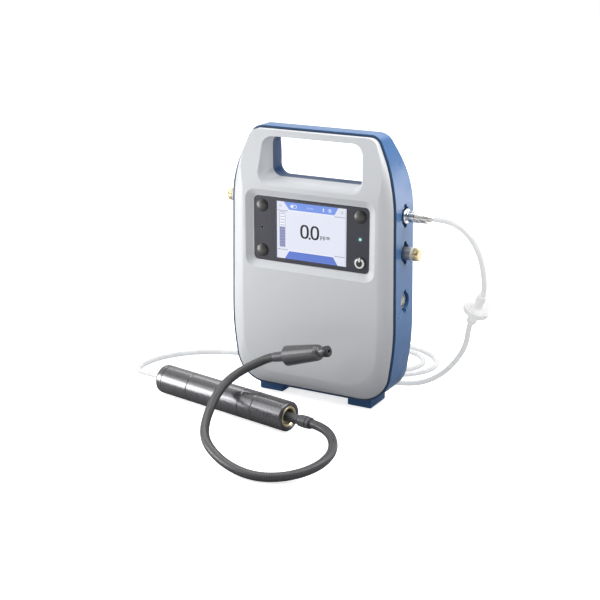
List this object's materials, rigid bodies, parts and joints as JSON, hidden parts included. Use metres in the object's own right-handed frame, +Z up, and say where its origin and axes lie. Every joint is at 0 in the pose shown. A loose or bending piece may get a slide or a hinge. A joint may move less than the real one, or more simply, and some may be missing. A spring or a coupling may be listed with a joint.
{
  "type": "portable gas detector",
  "caption": "Portable gas detector: upright two-tone casing with handle opening, display and buttons, gas ports, coiled sample hose with disc filter, and a wand with a gooseneck probe.",
  "frame": {"origin": "on the floor, under the middle of the whole set's footprint (casing, hose and wand)", "axes": "+X to the unit's right, -Y to its front, +Z up"},
  "size_m": [0.3495, 0.3661, 0.2527],
  "materials": {
    "blue_shell": "satin",
    "grey_shell": "satin",
    "dark_rubber": "matte",
    "dark_panel": "satin",
    "clear_pane": "polished",
    "display": "satin",
    "circuit_board": "satin",
    "board_parts": "matte",
    "steel": "brushed",
    "dark_steel": "satin",
    "nickel": "polished",
    "brass": "satin",
    "battery_wrap": "satin",
    "pump_plastic": "matte",
    "aluminium": "satin",
    "dark_anodised": "satin",
    "white_plastic": "satin",
    "light_guide": "polished",
    "clear_hose": "polished",
    "filter_body": "satin",
    "filter_paper": "matte",
    "silicone_hose": "matte",
    "neck_cover": "satin",
    "gold_contact": "polished",
    "soft_white": "matte"
  },
  "bodies": {
    "base_unit": {"rear_shell": "blue_shell", "front_shell": "grey_shell", "shell_gasket": "dark_rubber", "shell_screws": "steel", "battery_door": "blue_shell", "door_screws": "steel", "display_bezel": "dark_panel", "display_window": "clear_pane", "display_module": "display", "keypad_board": "circuit_board", "keypad_switches": "board_parts", "status_light": "light_guide", "buzzer": "board_parts", "main_board": "circuit_board", "main_board_parts": "board_parts", "board_spacers": "steel", "battery_pack": "battery_wrap", "pump_head": "pump_plastic", "pump_motor": "steel", "gas_cell": "aluminium", "infrared_source": "board_parts", "infrared_detector": "steel", "inner_hoses": "silicone_hose", "inlet_socket": "nickel", "plug_body": "nickel", "right_gas_port": "dark_steel", "left_gas_port": "dark_steel", "power_socket": "nickel", "socket_insert": "white_plastic", "socket_contacts": "gold_contact", "sample_hose_upper": "clear_hose", "sample_hose_lower": "clear_hose", "filter_inlet_half": "filter_body", "filter_outlet_half": "filter_body", "filter_membrane": "filter_paper", "wand_end_cap": "dark_anodised", "wand_rear_sleeve": "dark_anodised", "wand_middle_sleeve": "dark_anodised", "wand_front_sleeve": "dark_anodised", "wand_nose_sleeve": "dark_anodised", "wand_core": "pump_plastic", "wand_nose_ring": "brass", "wand_cable_boot": "dark_rubber", "gooseneck_base": "neck_cover"},
    "button_upper_left": {"button_upper_left": "dark_rubber"},
    "button_lower_left": {"button_lower_left": "dark_rubber"},
    "button_upper_right": {"button_upper_right": "dark_rubber"},
    "power_button": {"power_button": "dark_rubber"},
    "plug_collar": {"plug_collar": "nickel"},
    "right_cap_seal": {"right_cap_seal": "soft_white"},
    "right_port_cap": {"right_port_cap": "brass"},
    "left_cap_seal": {"left_cap_seal": "soft_white"},
    "left_port_cap": {"left_port_cap": "brass"},
    "pump_crank": {"pump_crank": "dark_steel"},
    "gooseneck_rise": {"gooseneck_rise": "neck_cover"},
    "gooseneck_arch": {"gooseneck_arch": "neck_cover"},
    "probe": {"gooseneck_end": "neck_cover", "probe_sleeve": "dark_rubber", "probe_head": "dark_anodised", "probe_tip": "dark_rubber"}
  },
  "joints": [
    {"name": "button_upper_left_press", "type": "slide", "parent": "base_unit", "child": "button_upper_left", "axis": [0, 1, 0], "range_m": [0, 0.0008], "stiffness_N_per_m": 400},
    {"name": "button_lower_left_press", "type": "slide", "parent": "base_unit", "child": "button_lower_left", "axis": [0, 1, 0], "range_m": [0, 0.0008], "stiffness_N_per_m": 400},
    {"name": "button_upper_right_press", "type": "slide", "parent": "base_unit", "child": "button_upper_right", "axis": [0, 1, 0], "range_m": [0, 0.0008], "stiffness_N_per_m": 400},
    {"name": "power_button_press", "type": "slide", "parent": "base_unit", "child": "power_button", "axis": [0, 1, 0], "range_m": [0, 0.0008], "stiffness_N_per_m": 400},
    {"name": "plug_collar_pull", "type": "slide", "parent": "base_unit", "child": "plug_collar", "axis": [1, 0, 0], "range_m": [0, 0.0025], "stiffness_N_per_m": 200},
    {"name": "right_cap_travel", "type": "slide", "parent": "base_unit", "child": "right_cap_seal", "axis": [1, 0, 0], "range_m": [0, 0.004]},
    {"name": "right_cap_turn", "type": "hinge", "parent": "right_cap_seal", "child": "right_port_cap", "pos_m": [0.109, 0.0195, 0.148], "axis": [1, 0, 0], "range_deg": [0, 1460]},
    {"name": "left_cap_travel", "type": "slide", "parent": "base_unit", "child": "left_cap_seal", "axis": [-1, 0, 0], "range_m": [0, 0.004]},
    {"name": "left_cap_turn", "type": "hinge", "parent": "left_cap_seal", "child": "left_port_cap", "pos_m": [-0.077, 0.0195, 0.183], "axis": [-1, 0, 0], "range_deg": [0, 1460]},
    {"name": "pump_spin", "type": "hinge", "parent": "base_unit", "child": "pump_crank", "pos_m": [0.07, 0.0275, 0.062], "axis": [0, 0, 1], "continuous": true},
    {"name": "neck_lift", "type": "hinge", "parent": "base_unit", "child": "gooseneck_rise", "pos_m": [0.0335, -0.1755, 0.0065], "axis": [0.3339, 0.9426, 0], "range_deg": [0, 30]},
    {"name": "neck_swing", "type": "hinge", "parent": "gooseneck_rise", "child": "gooseneck_arch", "pos_m": [-0.0265, -0.112, 0.0175], "axis": [0, 0, 1], "range_deg": [-15, 15]},
    {"name": "probe_tilt", "type": "hinge", "parent": "gooseneck_arch", "child": "probe", "pos_m": [-0.009, -0.0528, 0.0503], "axis": [0.3478, -0.9376, 0], "range_deg": [-20, 25]}
  ],
  "couplings": [
    {"joint": "right_cap_turn", "follows": "right_cap_travel", "rad_per_m": 6283.2},
    {"joint": "left_cap_turn", "follows": "left_cap_travel", "rad_per_m": 6283.2}
  ]
}
